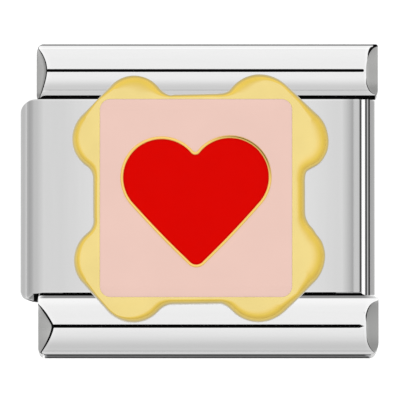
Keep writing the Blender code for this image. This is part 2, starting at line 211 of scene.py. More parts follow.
# Right of EAR_DARK the ear's hollow is dark, as painted shade; the tones of the ear's rim and hollow by X
# are painted light and shade
EAR_DARK = -4.81
EAR_SLANT = 0.056
EAR_RIM_TONES = ((-5.02, 1.0), (-4.96, 0.8), (-4.91, 0.30), (-4.80, 0.12))
EAR_HOLLOW_TONES = ((-4.96, 1.0), (-4.92, 0.5), (-4.88, 1.1), (-4.80, 1.0))

# The spring leaf in the slot at the right, with a rounded ridge and a foot made bright, a painted highlight
LEAF_FOOT_LEFT = 4.640
LEAF_LEFT = 4.734
LEAF_RIGHT = 4.880
LEAF_TOP = 2.55
LEAF_RIDGE_DROP = 0.16
LEAF_FOOT_TOP = 2.47
LEAF_FOOT_THICKNESS = 0.08
LEAF_BOTTOM = 1.13
LEAF_END = -2.745
LEAF_FOOT_END = TUBE_BOTTOM - 0.03
# Tones across the ridge, painted light and shade, from -1 at its left to 1 at its right, and of the other
# sides; the foot's tone is a painted highlight
LEAF_TONES = (
    (-1.0, 0.15), (-0.75, 0.03), (-0.4, 0.04), (-0.22, 0.6), (0.0, 0.6), (0.25, 0.2), (0.45, 0.05),
    (1.0, 0.05),
)
LEAF_SIDE_TONE = 0.8
LEAF_FOOT_TONE = 1.4
LEAF_SHADE_TONE = 0.2

# The gold plaque
PLAQUE_CENTRE = (-0.023, -0.041)
PLAQUE_HALF_SIDE = 3.00
PLAQUE_UNDERSIDE = 3.04
PLAQUE_FLAT = 3.735
PLAQUE_SIDE_FILLET = 0.55
PLAQUE_FLANK_RADIUS = 10.0
PLAQUE_SHOULDER_DROP = 0.32
PLAQUE_SHOULDER_LEAST = 0.06
PLAQUE_SHOULDER_STEPS = 14
# Flat gold left beside the pink, and how often the shoulder's width is smoothed
PLAQUE_MARGIN = 0.045
PLAQUE_SMOOTHING = 3
# Widths of the rounded shoulder by bearing in degrees from the plaque's middle
PLAQUE_SHOULDER = (
    (-180, 0.10), (-166, 0.14), (-155, 0.22), (-145, 0.20), (-139, 0.07), (-125, 0.08), (-113, 0.24),
    (-104, 0.24), (-98, 0.16), (-82, 0.16), (-76, 0.24), (-66, 0.34), (-52, 0.40), (-45, 0.32),
    (-38, 0.48), (-23, 0.48), (-14, 0.44), (-8, 0.28), (8, 0.28), (15, 0.44), (28, 0.50), (36, 0.36),
    (42, 0.15), (54, 0.13), (62, 0.22), (70, 0.44), (75, 0.52), (79, 0.16), (101, 0.16), (109, 0.34),
    (114, 0.62), (122, 0.40), (130, 0.17), (140, 0.20), (158, 0.26), (165, 0.22), (180, 0.10),
)
# How far the cast outline strays from its plain arcs by bearing, outwards positive
PLAQUE_SPREAD = (
    (-180, 0.028), (-171, 0.024), (-166, -0.020), (-158, -0.020), (-148, 0.0), (-141, 0.005), (-133, 0.032),
    (-126, 0.018), (-110, 0.014), (-102, 0.004), (-82, 0.0), (-78, -0.020), (-74, 0.004), (-55, 0.008),
    (-50, 0.030), (-45, 0.050), (-39, 0.034), (-24, 0.023), (-19, 0.0), (-16, -0.040), (-12, 0.020),
    (-8, 0.037), (8, 0.037), (11, 0.020), (14, -0.034), (17, 0.040), (21, 0.050), (27, 0.020), (40, 0.016),
    (47, 0.034), (54, 0.006), (66, 0.0), (72, -0.024), (75, -0.036), (79, 0.020), (85, 0.028), (98, 0.028),
    (102, 0.016), (105, -0.030), (109, -0.004), (128, 0.0), (135, 0.012), (142, 0.0), (158, 0.0),
    (165, -0.022), (170, 0.020), (180, 0.028),
)
# How bright the shoulder is by the direction that it faces: painted light and shade
PLAQUE_FACING_LIGHT = (
    (-180, 1.15), (-135, 1.13), (-90, 1.10), (-45, 1.05), (0, 1.0), (45, 0.96), (75, 0.92), (110, 0.91),
    (140, 1.02), (180, 1.15),
)
PLAQUE_FOOT_ROUNDING = 0.08
PLAQUE_FOOT_STEP = 0.3
# The lobes, anticlockwise: X and Y from the plaque's middle, and radius
LOBES = (
    (2.520, -1.594, 1.069), (2.709, 1.709, 0.971), (1.726, 2.477, 1.097), (-1.843, 2.629, 0.911),
    (-2.631, 1.720, 0.983), (-2.597, -1.723, 0.980), (-1.866, -2.549, 0.957), (1.703, -2.463, 1.040),
)
# The block that the plaque stands on
BOSS_HALF_SIDE = 2.40
BOSS_LOW = FACE_FRONT + 0.01
BOSS_HIGH = PLAQUE_UNDERSIDE + 0.02

# The pocket and the enamel in it
POCKET_FLOOR = PLAQUE_FLAT - 0.15
RIM_LOW = POCKET_FLOOR + 0.005
ENAMEL_LOW = POCKET_FLOOR + 0.008
PINK_LEFT = -2.843
PINK_RIGHT = 2.643
PINK_TOP = 2.805
PINK_BOTTOM = -2.852
PINK_CORNER = 0.31
HEART_MIDDLE = -0.0915
# Right and left lobe: distance from the middle, height and radius
HEART_LOBES = ((0.959, 0.581, 1.111), (0.988, 0.560, 1.100))
HEART_TIP_Y = -1.678
HEART_TIP_RADIUS = 0.250
HEART_NOTCH_RADIUS = 0.155
# How far the flanks bulge, and the steps that each is drawn in
HEART_BULGE = 0.024
HEART_FLANK_STEPS = 12
# The gold line round the heart: width, heights, and section from its inner to its outer edge
HEART_LINE = 0.075
RIM_CREST = 3.750
RIM_EDGE = 3.728
RIM_PROFILE = ((0.0, 0.0), (0.12, 0.45), (0.30, 0.85), (0.5, 1.0), (0.70, 0.85), (0.88, 0.45), (1.0, 0.0))
# Its dark stretch round the right lobe, painted shade: how dark, and where by bearing and across
RIM_DARKNESS = 0.80
RIM_DARK_BEARINGS = ((-5.0, 0.0), (25.0, 1.0), (75.0, 1.0), (125.0, 0.0))
RIM_DARK_ACROSS = ((0.25, 0.0), (0.45, 1.0), (0.75, 1.0), (0.95, 0.1))
RIM_DARK_START = HEART_MIDDLE + 0.2
# Enamel reaches a little under the gold and is rounded at its edge
OVERLAP = 0.004
PINK_EDGE = 0.012
RED_SURFACE = 3.738
# The red enamel's levels: distance outwards, height and tone
RED_LEVELS = (
    (OVERLAP, ENAMEL_LOW, 1.0), (OVERLAP, RED_SURFACE - 0.014, 0.80), (-0.02, RED_SURFACE - 0.004, 0.86),
    (-0.07, RED_SURFACE, 1.0), (-0.12, RED_SURFACE, 1.0),
)

# The floor, and the light at the horizon, from the photo's lower side to its upper one
FLOOR_HALF_SIDE = 0.6
FLOOR_DROP = 1e-5
FLOOR_GLOW = 0.75
HORIZON = ((0.0, 0.60), (0.2, 0.63), (0.45, 0.66), (0.55, 0.66), (0.8, 0.78), (1.0, 0.86))
HORIZON_GAIN = 1.2

# The camera stands far off, and looks a little from below the middle
FRAME_PIXELS = 400
PIXELS_PER_MM = 35.0
CAMERA_DISTANCE = 450.0
CAMERA_TILT = math.radians(3.2)
CAMERA_TARGET = (0.014, -0.029, 2.8)
SENSOR_MM = 36.0


# Materials: each has fine variation in colour, roughness and relief
def fill_inputs(tree, made, inputs):
    """Sets a node's inputs, by name or number: outputs of other nodes are linked."""
    for name, value in inputs.items():
        if isinstance(value, bpy.types.NodeSocket):
            tree.links.new(value, made.inputs[name])
        else:
            made.inputs[name].default_value = value


def node(tree, kind, inputs=None, **properties):
    """Adds a node, sets its properties and inputs, and gives its outputs."""
    made = tree.nodes.new(kind)
    for name, value in properties.items():
        setattr(made, name, value)
    fill_inputs(tree, made, inputs or {})
    return made.outputs


def math_node(tree, operation, *values):
    """Adds a Math node and gives its output."""
    return node(tree, "ShaderNodeMath", dict(enumerate(values)), operation=operation)[0]


def map_node(tree, value, from_low, from_high, to_low, to_high, kind="LINEAR"):
    """Adds a Map Range node and gives its output."""
    limits = {"From Min": from_low, "From Max": from_high, "To Min": to_low, "To Max": to_high}
    return node(tree, "ShaderNodeMapRange", {"Value": value, **limits}, interpolation_type=kind)["Result"]


def noise_node(tree, scales, detail):
    """Adds noise whose scales are in features for each millimetre along X, Y and Z."""
    place = node(tree, "ShaderNodeTexCoord")["Object"]
    per_metre = [scale / MILLIMETRE for scale in scales]
    scaled = node(tree, "ShaderNodeMapping", {"Vector": place, "Scale": per_metre})[0]
    return node(tree, "ShaderNodeTexNoise", {"Vector": scaled, "Scale": 1.0, "Detail": detail})["Fac"]


def noise_range(tree, noise, low, high):
    """Spreads noise, most of which lies between 0.3 and 0.7, over a range."""
    return map_node(tree, noise, 0.3, 0.7, low, high)


def ramp_node(tree, value, stops):
    """Adds a colour ramp with (place, colour) stops and gives its colour."""
    made = tree.nodes.new("ShaderNodeValToRGB")
    elements = made.color_ramp.elements
    while len(elements) > 1:
        elements.remove(elements[-1])
    for index, (place, colour) in enumerate(stops):
        element = elements[0] if index == 0 else elements.new(place)
        element.position = place
        element.color = (*colour, 1.0)
    tree.links.new(value, made.inputs["Fac"])
    return made.outputs["Color"]


def scaled_colour(tree, colour, factor):
    """Multiplies a colour, plain or linked, by a linked number."""
    return node(tree, "ShaderNodeVectorMath", {0: colour, "Scale": factor}, operation="SCALE")[0]


def material(name, colour, clouds, cloud_range, grain, roughness, relief, fade=None, **others):
    """Makes a material; clouds in its colour and grain in its relief are noise, as (scales, detail).

    The colour is plain, or has stops by how far the surface faces up, which paint shade where it turns
    away, and the mesh's tone, which holds painted light and shade, scales it.
    A fade is the stretch from the middle in which a gain of painted light falls to 1, and that gain.
    """
    made = bpy.data.materials.new(name)
    made.use_nodes = True
    tree = made.node_tree
    if isinstance(colour[0], tuple):
        normal = node(tree, "ShaderNodeNewGeometry")["Normal"]
        colour = ramp_node(tree, node(tree, "ShaderNodeSeparateXYZ", {0: normal})["Z"], colour)
    tone = node(tree, "ShaderNodeAttribute", attribute_name="tone")["Fac"]
    factor = math_node(tree, "MULTIPLY", tone, noise_range(tree, noise_node(tree, *clouds), *cloud_range))
    if fade:
        near, far, amount = fade
        place = node(tree, "ShaderNodeTexCoord")["Object"]
        away = math_node(tree, "ABSOLUTE", node(tree, "ShaderNodeSeparateXYZ", {0: place})["X"])
        gain = map_node(tree, away, near * MILLIMETRE, far * MILLIMETRE, amount, 1.0)
        factor = math_node(tree, "MULTIPLY", factor, gain)
    marks = noise_node(tree, *grain)
    bump = node(tree, "ShaderNodeBump", {"Height": marks, "Strength": 1.0, "Distance": relief})
    fill_inputs(tree, tree.nodes["Principled BSDF"], {
        "Base Color": scaled_colour(tree, colour, factor),
        "Roughness": noise_range(tree, marks, *roughness),
        "Normal": bump["Normal"],
        **others,
    })
    return made


def steel(name, colour, roughness, scales=(0.6, 9.0, 9.0), mottle=0.008, relief=2e-8, **others):
    """Steel with long faint polishing marks."""
    marks = (scales, 3.0)
    shades = (1 - mottle, 1 + mottle)
    return material(name, colour, marks, shades, marks, roughness, relief, Metallic=1.0, **others)


def gold(name, stops, roughness):
    """Gold plating with painted shade: deeper in colour where the surface turns away from the face."""
    clouds = ((1.1, 1.1, 1.1), 2.0)
    fine = ((14.0, 14.0, 14.0), 4.0)
    return material(name, stops, clouds, (0.97, 1.02), fine, roughness, 1.5e-6, Metallic=1.0)


def enamel(name, colour):
    """Smooth enamel with faint clouding and orange-peel relief."""
    clouds = ((0.8, 0.8, 0.8), 2.0)
    fine = ((5.0, 5.0, 5.0), 2.0)
    return material(name, colour, clouds, (0.985, 1.01), fine, (0.10, 0.18), 2e-7, IOR=1.08)


# One steel, lighter on the rails and leaf and darker on the plate, as painted light and shade; the plate's
# fade is painted light, brighter near its middle by the plaque
RAIL_STEEL = steel("rail_steel", (0.84, 0.84, 0.84), (0.05, 0.10))
PLATE_STEEL = steel(
    "plate_steel", (0.665, 0.665, 0.665), (0.05, 0.10), scales=(9.0, 0.5, 9.0), fade=(3.05, 3.9, 1.10)
)
LEAF_STEEL = steel("leaf_steel", (0.80, 0.80, 0.80), (0.08, 0.14), scales=(9.0, 0.5, 9.0))
# The facets' steel is darkened, as painted shade
FACET_SHADE_STEEL = steel(
    "facet_steel_painted_shade", (0.33, 0.33, 0.325), (0.22, 0.34), scales=(1.2, 1.0, 0.6), mottle=0.04, relief=2e-7
)
# The outer walls' steel is dark, as painted shade
WALL_SHADE_STEEL = steel(
    "wall_steel_painted_shade", (0.129, 0.129, 0.131), (0.62, 0.70), scales=(0.5, 8.0, 8.0), mottle=0.04,
    **{"Specular Tint": (0.0, 0.0, 0.0, 1.0)},
)
# The dark insides of seams, gaps and tubes, and the dark lines round the facets: painted shade
DARK_GRAIN = ((6.0, 6.0, 6.0), 3.0)
RECESS_SHADE = material(
    "recess", (0.006, 0.006, 0.006), DARK_GRAIN, (0.85, 1.15), DARK_GRAIN, (0.6, 0.8), 1e-6,
    **{"Specular IOR Level": 0.0},
)
# Both golds darken by how far the surface faces up, as painted shade
GOLD = gold(
    "gold",
    (
        (0.0, (0.26, 0.20, 0.07)), (0.25, (0.34, 0.265, 0.09)), (0.44, (0.46, 0.36, 0.12)),
        (0.60, (0.53, 0.395, 0.105)), (0.69, (0.62, 0.445, 0.10)), (0.75, (0.86, 0.61, 0.12)),
        (0.82, (0.88, 0.61, 0.11)), (0.88, (0.86, 0.62, 0.105)), (0.94, (0.84, 0.612, 0.15)),
        (0.975, (0.87, 0.66, 0.215)), (1.0, (0.89, 0.71, 0.272)),
    ),
    (0.12, 0.20),
)
RIM_GOLD = gold(
    "rim_gold",
    ((0.0, (0.70, 0.40, 0.07)), (0.5, (0.86, 0.50, 0.10)), (1.0, (0.96, 0.66, 0.20))),
    (0.10, 0.18),
)
PINK = enamel("pink_enamel", (0.901, 0.622, 0.543))
RED = enamel("red_enamel", (0.749, 0.0012, 0.0))


# Meshes
def add_object(name, data):
    """Makes an object in the scene."""
    made = bpy.data.objects.new(name, data)
    bpy.context.scene.collection.objects.link(made)
    return made


class Shape:
    """A mesh in millimetres: points that each carry a tone of painted light and shade, and faces that each
    have a finish.
    """

    def __init__(self):
        self.points = []
        self.tones = []
        self.faces = []
        self.finishes = []

    def add(self, points, tones=None):
        """Adds points and gives their numbers."""
        first = len(self.points)
        self.points += [tuple(point) for point in points]
        self.tones += list(tones) if tones is not None else [1.0] * len(points)
        return list(range(first, len(self.points)))

    def face(self, corners, finish=0):
        """Adds one face."""
        self.faces.append(list(corners))
        self.finishes.append(finish)

    def bridge(self, first, second, finish=0, closed=True):
        """Joins two rows of points with quads; finish is one number, or one for each quad."""
        count = len(first)
        for index in range(count if closed else count - 1):
            following = (index + 1) % count
            chosen = finish if isinstance(finish, int) else finish[index]
            self.face((first[index], first[following], second[following], second[index]), chosen)

    def skin(self, rows, finish=0, closed=True):
        """Joins rows of points, each to the next."""
        for first, second in zip(rows, rows[1:]):
            self.bridge(first, second, finish, closed)

    def fill(self, loops, finish=0):
        """Fills flat loops of points, of which the first is the outside and the rest are holes."""
        numbers = [number for loop in loops for number in loop]
        flat = [[Vector(self.points[number]) for number in loop] for loop in loops]
        for triangle in tessellate_polygon(flat):
            self.face([numbers[corner] for corner in triangle], finish)

    def block(self, low, high, finish=0):
        """Adds a plain block between two corners, for what is hidden in a gap."""
        (x0, y0, z0), (x1, y1, z1) = low, high
        flat = ((x0, y0), (x1, y0), (x1, y1), (x0, y1))
        under, over = (self.add([(x, y, z) for x, y in flat]) for z in (z0, z1))
        self.bridge(under, over, finish)
        self.face(reversed(under), finish)
        self.face(over, finish)

    def piece(self, name, materials, slot, *nodes):
        """Makes the object, which rides on the part and stands for the named nodes."""
        mesh = bpy.data.meshes.new(name)
        mesh.from_pydata(self.points, [], self.faces)
        corner_tones = [self.tones[number] for corners in self.faces for number in corners]
        mesh.attributes.new("tone", "FLOAT", "CORNER").data.foreach_set("value", corner_tones)
        mesh.polygons.foreach_set("material_index", self.finishes)
        for made in materials:
            mesh.materials.append(made)
        work = bmesh.new()
        work.from_mesh(mesh)
        bmesh.ops.remove_doubles(work, verts=work.verts, dist=WELD_DISTANCE)
        bmesh.ops.dissolve_degenerate(work, edges=work.edges, dist=WELD_DISTANCE)
        bmesh.ops.recalc_face_normals(work, faces=work.faces)
        work.to_mesh(mesh)
        work.free()
        mesh.transform(Matrix.Scale(MILLIMETRE, 4))
        mesh.shade_smooth()
        mesh.set_sharp_from_angle(angle=SHARP_ANGLE)
        made = add_object(name, mesh)
        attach(made, "root")
        if nodes:
            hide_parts(*nodes)
        made.visible_glossy = False


def between(stops, place):
    """Reads a value off a row of (place, value) stops."""
    if place <= stops[0][0]:
        return stops[0][1]
    for (start, low), (end, high) in zip(stops, stops[1:]):
        if place <= end:
            return low + (high - low) * (place - start) / (end - start)
    return stops[-1][1]


def arc(centre, radius, start, end, count=None):
    """Points along an arc, both ends included; the angles are in radians."""
    count = count or max(2, math.ceil(abs(end - start) / ARC_STEP))
    points = []
    for step in range(count + 1):
        angle = start + (end - start) * step / count
        points.append((centre[0] + radius * math.cos(angle), centre[1] + radius * math.sin(angle)))
    return points


def corner_inset(distance, along, across):
    """How far a rounded corner is cut back along X, at a distance from the edge."""
    if distance >= across:
        return 0.0
    share = 1 - max(distance, 0.0) / across
    return along * (1 - math.sqrt(max(0.0, 1 - share * share)))


# The rails
# Finishes of a rail; the last is dark, as painted shade
STEEL_FACE, FACET_FACE, WALL_FACE, SHADE_FACE = range(4)
DOME_KINDS = ("dome", "lip", "seam")


def dome_distances(reach):
    """How far from its edge a dome has points, which are closer together at the edge."""
    even = [(reach - SEAM_LIP) * step / RAIL_DOME_STEPS for step in range(1, RAIL_DOME_STEPS)]
    return [0.0, *EDGE_STEPS, *[place for place in even if place > EDGE_STEPS[-1] + 0.01]]


def half_of(u):
    """The half of a rail's section that a place lies in: outer, away from the plaque, or inner."""
    return "outer" if u > 0 else "inner"


def rail_point(u, z, kind, finish, dip=(0.0, 0.0), front=True):
    """A point of a rail's section; dip is how it moves where its seam, groove or channel is open."""
    return {"u": u, "z": z, "kind": kind, "finish": finish, "dip": dip, "front": front}


def dome_points(rail, front):
    """Points across a domed side, from its inner to its outer edge."""
    shoulder, upward = (SHOULDER_FRONT, 1) if front else (SHOULDER_BACK, -1)
    points = []

    def add(u, kind="dome", sink=0.0, finish=STEEL_FACE):
        rise = RAIL_DOME * (1 - min(1.0, abs(u) / rail[half_of(u)]) ** RAIL_DOME_POWER)
        points.append(rail_point(u, shoulder + upward * rise, kind, finish, (0.0, -upward * sink), front))

    for distance in dome_distances(rail["inner"]):
        add(distance - rail["inner"])
    half = rail["seam_half"]
    rows = [(SEAM_LIP, "lip", 0.0), *[(half + away, kind, sink) for away, kind, sink in SEAM_STEPS]]
    rows.append((SEAM_FLOOR * half, "seam", SEAM_DEPTH))
    for side, ordered in ((-1, rows), (1, rows[::-1])):
        for u, kind, sink in ordered:
            # The seam's floor and inner walls are dark, as painted shade
            dark = kind == "seam" and side * u < half
            add(side * u, kind, sink, SHADE_FACE if dark else STEEL_FACE)
    for distance in reversed(dome_distances(rail["outer"])):
        add(rail["outer"] - distance)
    return points


def rail_points(rail):
    """The whole section of a rail: front dome, outer wall, back dome, and the channel inside."""
    front = dome_points(rail, True)
    front[-1]["finish"] = WALL_FACE
    back = list(reversed(dome_points(rail, False)))
    finishes = [point["finish"] for point in back]
    for point, finish in zip(back, finishes[1:] + [SHADE_FACE]):
        point["finish"] = finish
    middle = (RAIL_FRONT + RAIL_BACK) / 2
    outer_wall = [
        rail_point(rail["outer"], middle + rise, "side", WALL_FACE, (0.0 if rise else -SIDE_GROOVE, 0.0))
        for rise in WALL_RISES
    ]
    low = SHOULDER_BACK + LIP_THICKNESS
    high = SHOULDER_FRONT - LIP_THICKNESS
    channel = [
        rail_point(-rail["inner"], z, "channel", SHADE_FACE, (sink, 0.0))
        for z, sink in ((low, 0.0), (low, LIP_REACH), (high, LIP_REACH), (high, 0.0))
    ]
    return front, outer_wall, back, channel


def rail_tone(rail, point, end_share):
    """Painted light and shade of a point on a rail, as a tone; end_share is 1 at a cut end and 0 away from
    it.
    """
    if point["kind"] == "channel":
        return 1.0
    if point["kind"] == "side":
        height = (point["z"] - SHOULDER_BACK) / (SHOULDER_FRONT - SHOULDER_BACK)
        light = min(1.0, max(0.0, (height - 1 + 1.3 * end_share) / 0.3))
        stripe = between(WALL_STRIPE, abs(height - 0.5))
        return stripe + (WALL_LIGHT - stripe) * light
    if point["kind"] == "lip":
        return SEAM_LIP_TONE
    half = half_of(point["u"])
    tone = between(rail[half + "_tones"], rail[half] - abs(point["u"]))
    if half == "inner":
        tone += max(0.0, 1 - tone) * min(1.0, rail["inner_fade"] * end_share)
    return tone * (1 + END_GAIN * end_share)


def build_rail(name, rail):
    """One side rail, drawn as a row of sections with its cut ends, seams and channel."""
    shape = Shape()
    outward = math.copysign(1, rail["crest"])
    front, outer_wall, back, channel = rail_points(rail)
    section = front + outer_wall + back + channel

    def end_inset(point, side):
        half = half_of(point["u"])
        return corner_inset(rail[half] - abs(point["u"]), *rail[side + "_corners"][half])

    def end_reach(point, side):
        if point["kind"] not in DOME_KINDS:
            return end_inset(point, side)
        facet = rail[side + "_facet"]
        half = half_of(point["u"])
        limit, power, root = facet[half]
        share = max(0.0, 1 - (abs(point["u"]) / rail[half] / limit) ** power) ** root
        return max(facet["depth"] * share, end_inset(point, side))

    def from_end(side, distance, creased=True, recess=None):
        """Places the points of a section at a distance from the rim of a cut end."""
        towards = 1 if side == "left" else -1

        def place(point):
            reach = end_reach(point, side)
            if creased and point["kind"] in DOME_KINDS:
                reach += between(rail[side + "_crease"], point["u"])
            recessed = recess and point["kind"] not in ("dome", "lip")
            return rail[side] + towards * (reach + (recess if recessed else distance))

        return place

    def ring(place, finishes, seam=1.0, width=1.0, hollow=1.0, end_share=0.0, flare=0.0):
        """Adds a section; seam and hollow say how far those are open, and width how wide the seam is."""
        points = []
        for point in section:
            u = point["u"]
            share = hollow
            if point["kind"] in ("lip", "seam"):
                share = seam
                inside = min(abs(u), rail["seam_half"])
                u = math.copysign(abs(u) - inside * (1 - width), u)
            u += share * point["dip"][0]
            if point["front"] and u < 0:
                u -= flare * min(1.0, -u / rail["inner"]) ** 4
            if point["kind"] == "side" or not point["front"]:
                u += WALL_FLARE * (1 - point["z"] / RAIL_FRONT) * max(0.0, u / rail["outer"]) ** 8
            points.append((place(point), rail["crest"] + outward * u, point["z"] + share * point["dip"][1]))
        return shape.add(points, [rail_tone(rail, point, end_share) for point in section]), finishes

    plain = [point["finish"] for point in section]
    closed = [STEEL_FACE if point["kind"] == "seam" else point["finish"] for point in section]
    # The dark lines round the facets are painted shade
    crease_shade = [SHADE_FACE if point["kind"] in DOME_KINDS else point["finish"] for point in section]
    flare = rail["left_flare"]
    cut = {"seam": 0.0, "hollow": 0.0, "end_share": 1.0}
    rings = [
        ring(from_end("left", 0.0, creased=False), crease_shade, flare=flare, **cut),
        ring(from_end("left", 0.0), plain, flare=0.9 * flare, **cut),
        ring(from_end("left", BRIGHT_EDGE, recess=RECESS_START), plain, end_share=0.60, flare=0.5 * flare),
        ring(from_end("left", 2 * BRIGHT_EDGE), plain, end_share=0.25, flare=0.2 * flare),
        ring(from_end("left", 4 * BRIGHT_EDGE), plain),
    ]
    taper = rail["seam_taper"]
    for share in SEAM_END_SHARES:
        pointed = taper > 2 * rail["seam_half"]
        width = 1 - share if pointed else math.sqrt(1 - share * share)
        x = SEAM_END - taper * (1 - share)
        rings.append(ring(lambda point, x=x: x, plain, width=max(width, SEAM_END_WIDTH)))
    rings += [
        ring(lambda point: SEAM_END, closed, seam=0.0, width=SEAM_END_WIDTH),
        ring(lambda point: SEAM_END + SEAM_END_LIP, closed, seam=0.0),
        ring(from_end("right", 1.5 * BRIGHT_EDGE), closed, seam=0.0, end_share=0.45),
        ring(from_end("right", 0.5 * BRIGHT_EDGE), closed, seam=0.0, end_share=0.8),
        ring(from_end("right", 0.0), crease_shade, **cut),
        ring(from_end("right", 0.0, creased=False), closed, **cut),
    ]
    for (first, finishes), (second, _) in zip(rings, rings[1:]):
        shape.bridge(first, second, finishes)

    # The cut ends: a facet on each dome, and a flat face between them; the facets' darker steel and tones
    # are painted shade and light
    count = len(front)
    back_start = count + len(outer_wall)
    for side, (end_ring, _) in (("left", rings[0]), ("right", rings[-1])):
        towards = 1 if side == "left" else -1
        feet = []
        for points, z, start in ((front, SHOULDER_FRONT, 0), (back, SHOULDER_BACK, back_start)):
            upper = [shape.points[number] for number in end_ring[start:start + count]]
            lower = [
                (rail[side] + towards * end_inset(point, side), y, z)
                for point, (_, y, _) in zip(points, upper)
            ]
            steps = []
            for level, share in FACET_LEVELS:
                row = [Vector(high).lerp(Vector(low), share) for high, low in zip(upper, lower)]
                tones = [between(rail[side + "_facet"][level], point["u"]) for point in points]
                steps.append(shape.add(row, tones))
            shape.skin(steps, FACET_FACE, closed=False)
            feet.append(steps[-1])
        front_row, back_row = feet[0], feet[1][::-1]
        for index in range(count - 1):
            corners = [front_row[index], front_row[index + 1]]
            if index == count - 2:
                corners += end_ring[count:back_start]
            corners += [back_row[index + 1], back_row[index]]
            if index == 0:
                corners += end_ring[-len(channel):]
            shape.face(corners, FACET_FACE)

    # What closes the gap along the tubes, and the legs that go into them: dark blocks that stand for the
    # shade there
    inner_edge = rail["crest"] - outward * rail["inner"]
    tube_edge = (TUBE_TOP if outward > 0 else TUBE_BOTTOM) + outward * GAP_PLAY
    wall = inner_edge + outward * (LIP_REACH + 0.01)
    low, high = sorted((tube_edge, wall))
    shape.block((rail["gap"][0], low, GAP_STRIP[0]), (rail["gap"][1], high, GAP_STRIP[1]), SHADE_FACE)
    low, high = sorted((wall, inner_edge - outward * LEG_REACH))
    for bottom in (0.0, FACE_BACK):
        under = bottom + SHEET + LEG_PLAY
        over = bottom + TUBE_HEIGHT - SHEET - LEG_PLAY
        shape.block((-LEG_END, low, under), (LEG_END, high, over), SHADE_FACE)
    shape.piece(name + "_polished", [RAIL_STEEL, FACET_SHADE_STEEL, WALL_SHADE_STEEL, RECESS_SHADE], "rails", name)


# The tubes
def tube_outline(mirrored):
    """Outer outline of a tube in X and Z from the roll's outermost point round, and the roll's centre."""
    left, right = (-BACK_RIGHT, -BACK_LEFT) if mirrored else (FACE_LEFT, FACE_RIGHT)
    half = TUBE_HEIGHT / 2
    roll = (left + half, half)
    points = arc(roll, half, math.pi, math.pi / 2, ROLL_STEPS)
    points.append((roll[0] + ROLL_FLAT, TUBE_HEIGHT))
    corner, drop = (TUBE_CORNER, 0.0) if mirrored else (LIP_CORNER, LIP_DROP)
    if not mirrored:
        for step in range(DIP_STEPS + 1):
            share = step / DIP_STEPS
            x = DIP_START + (DIP_END - DIP_START) * share
            points.append((x, TUBE_HEIGHT - DIP_DEPTH * share ** DIP_POWER))
        points.append((LIP_START, TUBE_HEIGHT - LIP_DROP))
        points.append((LIP_START + LIP_WIDTH, TUBE_HEIGHT - LIP_DROP / 2))
    points += arc((right - corner, TUBE_HEIGHT - drop - corner), corner, math.pi / 2, 0)
    points += arc((right - TUBE_CORNER, TUBE_CORNER), TUBE_CORNER, 0, -math.pi / 2)
    return points + arc(roll, half, 1.5 * math.pi, math.pi)[:-1], roll, right


